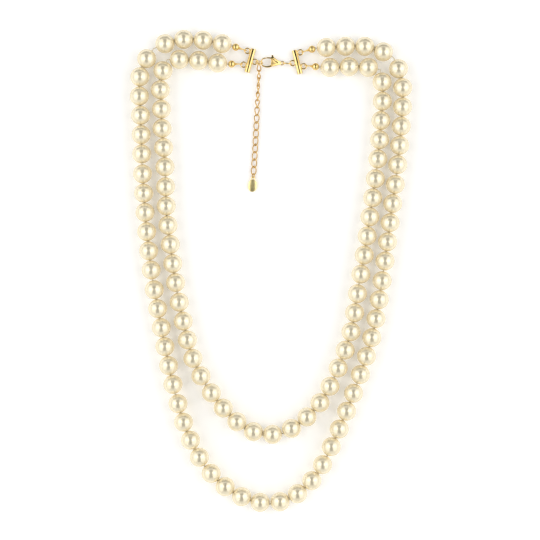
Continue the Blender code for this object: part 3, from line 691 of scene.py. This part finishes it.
def bar(name, matrix, up):
    """A low-domed rod with a flat back, and a soldered loop for each strand and for the clasp."""
    half = BAR_WIDTH / 2 - BAR_EDGE
    crown = BAR_HEIGHT - BAR_WALL - BAR_EDGE
    arc = [math.pi * step / 32 for step in range(33)]
    outline = [(-half, BAR_EDGE)]
    outline += [(-half * math.cos(a), BAR_WALL + crown * abs(math.sin(a))**BAR_FLATNESS) for a in arc]
    outline.append((half, BAR_EDGE))
    rod = plate(name, outline[::-1], BAR_LENGTH, BAR_EDGE, bright_gold)
    rod.transform(Matrix.Rotation(math.pi / 2, 4, "X"))
    piece(name, rod, name, name, matrix)
    places = [(-STRAND_LOOP_OFFSET, y) for y in strand_loop_places(up)]
    for index, (x, y) in enumerate([*places, (CLASP_LOOP_OFFSET, 0.0)]):
        wire = tube(f"{name}_loop", loop_points(LOOP_RADIUS, 40), [LOOP_WIRE] * 40, bright_gold, 14, True)
        place = matrix @ Matrix.Translation((x, y, HARDWARE_HEIGHT))
        piece(f"{name}_loop_{index + 1}", wire, name, None, place)


def tip_frame(hook, heading):
    """Where a bead tip's ball, axis and pearl end lie, from its hook and its heading on plan."""
    total = TIP_HOOK_DISTANCE + TIP_PEARL_DISTANCE
    rise = PEARL_RADIUS - hook.z
    reach = math.sqrt(total**2 - rise**2)
    angle = math.radians(heading)
    pearl_end = hook + Vector((reach * math.cos(angle), reach * math.sin(angle), rise))
    axis = (hook - pearl_end).normalized()
    ball = pearl_end + axis * TIP_PEARL_DISTANCE
    return {"axis": axis, "pearl_end": pearl_end, "ball": ball}


def bead_tip(name, end):
    """A hollow ball with a seam and a thread hole, a cone neck, and a hook bent from its end."""
    inner = TIP_BALL_RADIUS - TIP_WALL
    hole = math.asin(TIP_HOLE_RADIUS / TIP_BALL_RADIUS)
    neck_end = TIP_HOOK_DISTANCE - TIP_HOOK_RADIUS
    profile = [(0.0, neck_end), (TIP_NECK_RADIUS * 0.8, neck_end - 0.00004),
               (TIP_NECK_RADIUS, neck_end - 0.0004), (TIP_NECK_RADIUS * 1.25, neck_end - 0.0011)]
    for degrees in range(26, 162, 8):
        angle = math.radians(degrees)
        groove = 0.00003 if degrees == 90 else 0.0
        profile.append(((TIP_BALL_RADIUS - groove) * math.sin(angle),
                        (TIP_BALL_RADIUS - groove) * math.cos(angle)))
    lip = TIP_BALL_RADIUS * math.cos(hole)
    profile += [(TIP_HOLE_RADIUS + 0.00018, -lip - 0.00002),
                (TIP_HOLE_RADIUS + 0.0001, -lip - TIP_LIP_LENGTH),
                (TIP_HOLE_RADIUS, -lip - TIP_LIP_LENGTH * 0.8),
                (TIP_HOLE_RADIUS, -math.sqrt(inner**2 - TIP_HOLE_RADIUS**2))]
    for degrees in range(145, 10, -15):
        angle = math.radians(degrees)
        profile.append((inner * math.sin(angle), inner * math.cos(angle)))
    profile.append((0.0, inner))
    side = Vector((0.0, 0.0, 1.0)).cross(end["axis"]).normalized()
    up = end["axis"].cross(side)
    matrix = Matrix.Translation(end["ball"]) @ Matrix((-up, side, end["axis"])).transposed().to_4x4()
    shell = turned(name, profile, 36, bright_gold)
    piece(name, shell, "strand_ends", name, matrix)
    wire = placed(loop_points(TIP_HOOK_RADIUS, 36, start=-88, sweep=342),
                  Matrix.Translation((0.0, 0.0, TIP_HOOK_DISTANCE)) @ Matrix.Rotation(math.pi / 2, 4, "X"))
    hook = tube(f"{name}_hook", wire, [TIP_HOOK_WIRE] * 36, bright_gold, 12)
    piece(f"{name}_hook", hook, "strand_ends", None, matrix)


# Clasp

def clasp_line(outline, radii, steps):
    """A smooth line with radii through clasp points given in millimetres from the nose."""
    rows = smooth_line([(x, y, radius) for (x, y), radius in zip(outline, radii)], steps)
    points = [NOSE + Vector((x, y, 0.0)) * MILLIMETRE for x, y, _ in rows]
    return points, [radius * MILLIMETRE for _, _, radius in rows]


def rounded(outline, steps=5, pull=0.28):
    """An outline in metres with its corners cut to short curves, clockwise to counter-clockwise."""
    corners = [Vector(place) * MILLIMETRE for place in reversed(outline)]
    made = []
    for index, corner in enumerate(corners):
        before = corner.lerp(corners[index - 1], pull)
        after = corner.lerp(corners[(index + 1) % len(corners)], pull)
        for step in range(steps + 1):
            t = step / steps
            made.append(before * (1 - t)**2 + corner * 2 * t * (1 - t) + after * t**2)
    return made


def clasp():
    """Claw, tapered housing with the lever's slot, eyelet, trigger lever with gate arm, and pin."""
    at_nose = Matrix.Translation(NOSE)
    claw_points, claw_radii = clasp_line(CLAW, CLAW_RADII, 6)
    claw = tube("clasp_claw", claw_points, claw_radii, bright_gold, 16)
    housing = plate("clasp_housing", rounded(HOUSING), CLASP_THICKNESS, HOUSING_EDGE, bright_gold, 5)
    housing = tapered(housing, *HOUSING_TAPER)
    housing = shaped(housing, "DIFFERENCE", groove(GROOVE, GROOVE_WIDTH, GROOVE_DEPTH, CLASP_THICKNESS / 2))
    housing.transform(at_nose)
    slot = plate("clasp_slot", [Vector(place) * MILLIMETRE for place in reversed(SLOT)], LEVER_SLOT, 0.0,
                 bright_gold, 0)
    slot.transform(at_nose)
    eyelet = tube("clasp_eyelet", placed(loop_points(EYELET_RADIUS, 36), Matrix.Translation(EYELET)),
                  [EYELET_WIRE] * 36, bright_gold, 12, True)
    body = shaped(shaped(housing, "UNION", [claw, eyelet]), "DIFFERENCE", [slot])
    piece("clasp_body", finish_mesh(body, bright_gold, 35), "clasp", "clasp_body")
    lever = plate("clasp_lever", rounded(LEVER), LEVER_THICKNESS, LEVER_EDGE, bright_gold, 4)
    lever = tapered(lever, *LEVER_TAPER)
    lever.transform(at_nose)
    arm_points, arm_radii = clasp_line(GATE, [GATE_WIRE / MILLIMETRE * taper for taper in GATE_TAPER], 8)
    arm = tube("clasp_gate", arm_points, arm_radii, bright_gold, 14)
    trigger = shaped(lever, "UNION", [arm])
    piece("clasp_trigger", finish_mesh(trigger, bright_gold, 35), "trigger", "clasp_trigger")
    half = CLASP_THICKNESS / 2
    profile = [(0.0, half + 0.00006), (PIN_RADIUS * 0.6, half + 0.00004), (PIN_RADIUS, half - 0.00003),
               (PIN_RADIUS, 0.00003 - half), (PIN_RADIUS * 0.6, -half - 0.00004), (0.0, -half - 0.00006)]
    pin = turned("clasp_pin", profile, 28, bright_gold)
    piece("clasp_pin", pin, "clasp", "clasp_pin", Matrix.Translation(PIVOT))


def small_rings():
    """The jump ring with its butted ends, and the narrow soldered link of the clasp."""
    matrix = (Matrix.Translation(JUMP_RING_CENTRE) @ Matrix.Rotation(JUMP_RING_HEADING, 4, "Z")
              @ Matrix.Rotation(-JUMP_RING_LEAN, 4, "X"))
    ring = tube("jump_ring_left", loop_points(JUMP_RING_RADIUS, 56, start=200, sweep=341),
                [JUMP_RING_WIRE] * 56, bright_gold, 14)
    piece("jump_ring_left", ring, "jump_ring", "jump_ring_left", matrix)
    matrix = (Matrix.Translation(CLASP_LINK_CENTRE) @ Matrix.Rotation(CLASP_LINK_HEADING, 4, "Z")
              @ Matrix.Rotation(math.pi / 2, 4, "X"))
    link = tube("clasp_link", loop_points(LINK_LENGTH, 48, half_width=LINK_WIDTH), [LINK_WIRE] * 48,
                bright_gold, 14, True)
    piece("clasp_link", link, "clasp_link", "clasp_link", matrix)


# Extender chain

def chain_frames():
    """A matrix for each link, walking down the chain's route."""
    path = smooth_line([tuple(CHAIN_HANG_POINT), *CHAIN_ROUTE], CURVE_STEPS)
    places = walk(path, [CHAIN_HANG] + [CHAIN_PITCH] * CHAIN_LINKS)
    frames = []
    for index, roll in enumerate(CHAIN_ROLLS):
        behind, centre, ahead = [Vector(place) for place in places[index:index + 3]]
        along = (behind - ahead).normalized()
        side = along.cross(Vector((0.0, 0.0, 1.0))).normalized()
        up = side.cross(along)
        matrix = Matrix.Translation(centre) @ Matrix((side, along, up)).transposed().to_4x4()
        frames.append(matrix @ Matrix.Rotation(math.radians(roll), 4, "Y"))
    return frames


def chain(frames):
    """Curb links: ovals of wire twisted out of their planes so that neighbours lie flat."""
    points = []
    count = 48
    for step in range(count):
        angle = 2 * math.pi * step / count
        points.append((CHAIN_HALF_WIDTH * math.cos(angle), CHAIN_HALF_LENGTH * math.sin(angle),
                       CHAIN_TWIST * math.sin(2 * angle)))
    link = tube("chain_link", points, [CHAIN_WIRE] * count, chain_gold, 12, True)
    for index, matrix in enumerate(frames):
        name = f"chain_link_{index + 1:02d}"
        piece(name, link, name, name, matrix)


def tag(last):
    """A small ring and a domed oval plate with an eye."""
    matrix = last @ Matrix.Translation(TAG_RING_OFFSET) @ Matrix.Rotation(TAG_RING_ROLL, 4, "Y")
    ring = tube("tag_ring", loop_points(TAG_RING_RADIUS, 40), [TAG_RING_WIRE] * 40, chain_gold, 12, True)
    piece("tag_ring", ring, "tag_ring", "tag_ring", matrix)
    matrix = last @ Matrix.Translation(TAG_OFFSET) @ Matrix.Rotation(TAG_LEAN, 4, "X")
    half = TAG_THICKNESS / 2
    profile = [(0.0, half * 1.25), (0.3, half * 1.2), (0.55, half * 1.08), (0.75, half * 0.86),
               (0.88, half * 0.62), (0.96, half * 0.4), (0.99, half * 0.2), (1.0, 0.0),
               (0.99, -half * 0.5), (0.96, -half * 0.85), (0.9, -half), (0.0, -half)]
    plate_mesh = turned("tag", profile, 72, tag_gold, scale=(TAG_HALF_WIDTH, TAG_HALF_LENGTH))
    piece("tag", plate_mesh, "tag", "tag", matrix)
    eye = tube("tag_eye", loop_points(TAG_EYE_RADIUS, 36), [TAG_EYE_WIRE] * 36, tag_gold, 12, True)
    piece("tag_eye", eye, "tag", None,
          matrix @ Matrix.Translation((0.0, TAG_HALF_LENGTH + TAG_EYE_OVERHANG, 0.0)))


# Floor, light and camera

def sheet(name, half_size):
    """A flat square of the studio, which isn't part of the necklace."""
    work = bmesh.new()
    bmesh.ops.create_grid(work, x_segments=1, y_segments=1, size=half_size)
    mesh = bpy.data.meshes.new(name)
    work.to_mesh(mesh)
    work.free()
    item = bpy.data.objects.new(name, mesh)
    bpy.context.scene.collection.objects.link(item)
    return item


def floor():
    """A pale sweep that the necklace lies on, with a faint glow that lightens the shadows."""
    item = sheet("floor", FLOOR_HALF_SIZE)
    item.location = (0.0, 0.0, -FLOOR_DROP)
    made = Shading("floor_sweep", Roughness=0.6, Emission_Color=(1.0, 1.0, 1.0, 1.0),
                   Emission_Strength=FLOOR_GLOW)
    grain = made.noise(3.0)
    made.drive("Base Color", made.ramp(grain, [(0.3, (0.93, 0.93, 0.93)), (0.7, (0.95, 0.95, 0.95))]))
    item.data.materials.append(made.material)


def dark_card():
    """A dark card standing far beyond +Y, which the pearls mirror and the camera doesn't see."""
    item = sheet("dark_card", 0.5)
    item.scale = (*CARD_SIZE, 1.0)
    item.rotation_euler = (math.pi / 2, 0.0, 0.0)
    item.location = (0.0, CARD_DISTANCE, CARD_SIZE[1] / 2)
    item.visible_camera = False
    made = Shading("dark_card", Roughness=0.9)
    cloth = made.noise(12.0)
    made.drive("Base Color", made.ramp(cloth, [(0.3, (0.05, 0.045, 0.035)), (0.7, (0.07, 0.062, 0.05))]))
    item.data.materials.append(made.material)


def softboxes():
    """Two long softboxes left and right of the view from above, with a gap between them."""
    for name, x in (("softbox_left", -SOFTBOX_X), ("softbox_right", SOFTBOX_X)):
        data = bpy.data.lights.new(name, "AREA")
        data.shape = "RECTANGLE"
        data.size = SOFTBOX_SIZE[0]
        data.size_y = SOFTBOX_SIZE[1]
        data.energy = SOFTBOX_POWER
        lamp = bpy.data.objects.new(name, data)
        lamp.location = (x, SOFTBOX_Y, SOFTBOX_Z)
        lamp.rotation_euler = (-lamp.location).to_track_quat("-Z", "Y").to_euler()
        lamp.visible_camera = False
        bpy.context.scene.collection.objects.link(lamp)


def room():
    """A white room with a dark strip overhead between the softboxes."""
    world = bpy.data.worlds.new("studio")
    bpy.context.scene.world = world
    world.use_nodes = True
    tree = world.node_tree

    def math_node(operation, *values):
        made = tree.nodes.new("ShaderNodeMath")
        made.operation = operation
        for socket, value in zip(made.inputs, values):
            if isinstance(value, bpy.types.NodeSocket):
                tree.links.new(value, socket)
            else:
                socket.default_value = value
        return made.outputs["Value"]

    def fade(value, low, high):
        made = tree.nodes.new("ShaderNodeMapRange")
        made.interpolation_type = "SMOOTHSTEP"
        tree.links.new(value, made.inputs["Value"])
        made.inputs["From Min"].default_value = low
        made.inputs["From Max"].default_value = high
        return made.outputs["Result"]

    place = tree.nodes.new("ShaderNodeTexCoord")
    split = tree.nodes.new("ShaderNodeSeparateXYZ")
    tree.links.new(place.outputs["Generated"], split.inputs["Vector"])
    x, y, z = split.outputs["X"], split.outputs["Y"], split.outputs["Z"]
    strip = math_node("MULTIPLY", fade(math_node("ABSOLUTE", x), 0.36, 0.28),
                      fade(math_node("ABSOLUTE", y), 0.85, 0.70))
    dark = math_node("MULTIPLY", strip, fade(z, 0.1, 0.3))
    panel = math_node("MULTIPLY", fade(math_node("ABSOLUTE", x), 0.28, 0.38), fade(z, 0.12, 0.32))
    panel = math_node("MULTIPLY", panel, fade(math_node("ABSOLUTE", y), 0.80, 0.62))
    level = math_node("ADD", ROOM_LEVEL, math_node("MULTIPLY", panel, PANEL_LEVEL - ROOM_LEVEL))
    light_left = math_node("SUBTRACT", 1.0, math_node("MULTIPLY", dark, STRIP_DARKNESS))
    level = math_node("MULTIPLY", level, light_left)
    background = tree.nodes["Background"]
    background.inputs["Color"].default_value = ROOM_COLOUR
    tree.links.new(level, background.inputs["Strength"])


def camera():
    data = bpy.data.cameras.new("camera")
    data.lens = CAMERA_LENS
    data.sensor_width = SENSOR_WIDTH
    data.clip_end = 10.0
    item = bpy.data.objects.new("camera", data)
    item.location = (*CAMERA_CENTRE, PICTURE_WIDTH * CAMERA_LENS / SENSOR_WIDTH + PEARL_RADIUS)
    bpy.context.scene.collection.objects.link(item)
    bpy.context.scene.camera = item
    bpy.context.scene.view_settings.view_transform = "Standard"


LEFT_BAR = bar_matrix(LEFT_BAR_PLACE)
RIGHT_BAR = bar_matrix(RIGHT_BAR_PLACE)
LEFT_CLASP_WIRE = clasp_wire(LEFT_BAR)
RIGHT_CLASP_WIRE = clasp_wire(RIGHT_BAR)
NOSE = LEFT_CLASP_WIRE + Vector((NOSE_SPAN, 0.0, 0.0))
JUMP_RING_CENTRE = (LEFT_CLASP_WIRE + NOSE) / 2
EYELET = NOSE + Vector(EYELET_OFFSET)
PIVOT = NOSE + Vector(PIVOT_OFFSET)
EYELET_WIRE_PLACE = EYELET + Vector((EYELET_RADIUS, 0.0, 0.0))
CHAIN_HANG_POINT = JUMP_RING_CENTRE + (
    Matrix.Rotation(JUMP_RING_HEADING, 3, "Z") @ Matrix.Rotation(-JUMP_RING_LEAN, 3, "X")
    @ Vector((0.0, -JUMP_RING_RADIUS, 0.0)))
CLASP_LINK_CENTRE = (EYELET_WIRE_PLACE + RIGHT_CLASP_WIRE) / 2
CLASP_LINK_HEADING = math.atan2(RIGHT_CLASP_WIRE.y - EYELET_WIRE_PLACE.y,
                                RIGHT_CLASP_WIRE.x - EYELET_WIRE_PLACE.x)

camera()
floor()
dark_card()
softboxes()
room()
tips = {}
for side_name, side_matrix, up in (("left", LEFT_BAR, 1), ("right", RIGHT_BAR, -1)):
    bar(f"bar_{side_name}", side_matrix, up)
    for strand_name, along in zip(("outer", "inner"), strand_loop_places(up)):
        tip_name = f"{strand_name}_{side_name}"
        tips[tip_name] = tip_frame(strand_wire(side_matrix, along), TIP_HEADINGS[tip_name])
        bead_tip(f"bead_tip_{tip_name}", tips[tip_name])
drilled_ball = pearl_mesh()
string_strand(OUTER, (tips["outer_left"], tips["outer_right"]), drilled_ball)
string_strand(INNER, (tips["inner_left"], tips["inner_right"]), drilled_ball)
clasp()
small_rings()
chain_run = chain_frames()
chain(chain_run)
tag(chain_run[-1])
frame["nodes"]["clasp_spring"].data.materials.clear()
frame["nodes"]["clasp_spring"].data.materials.append(steel_finish)
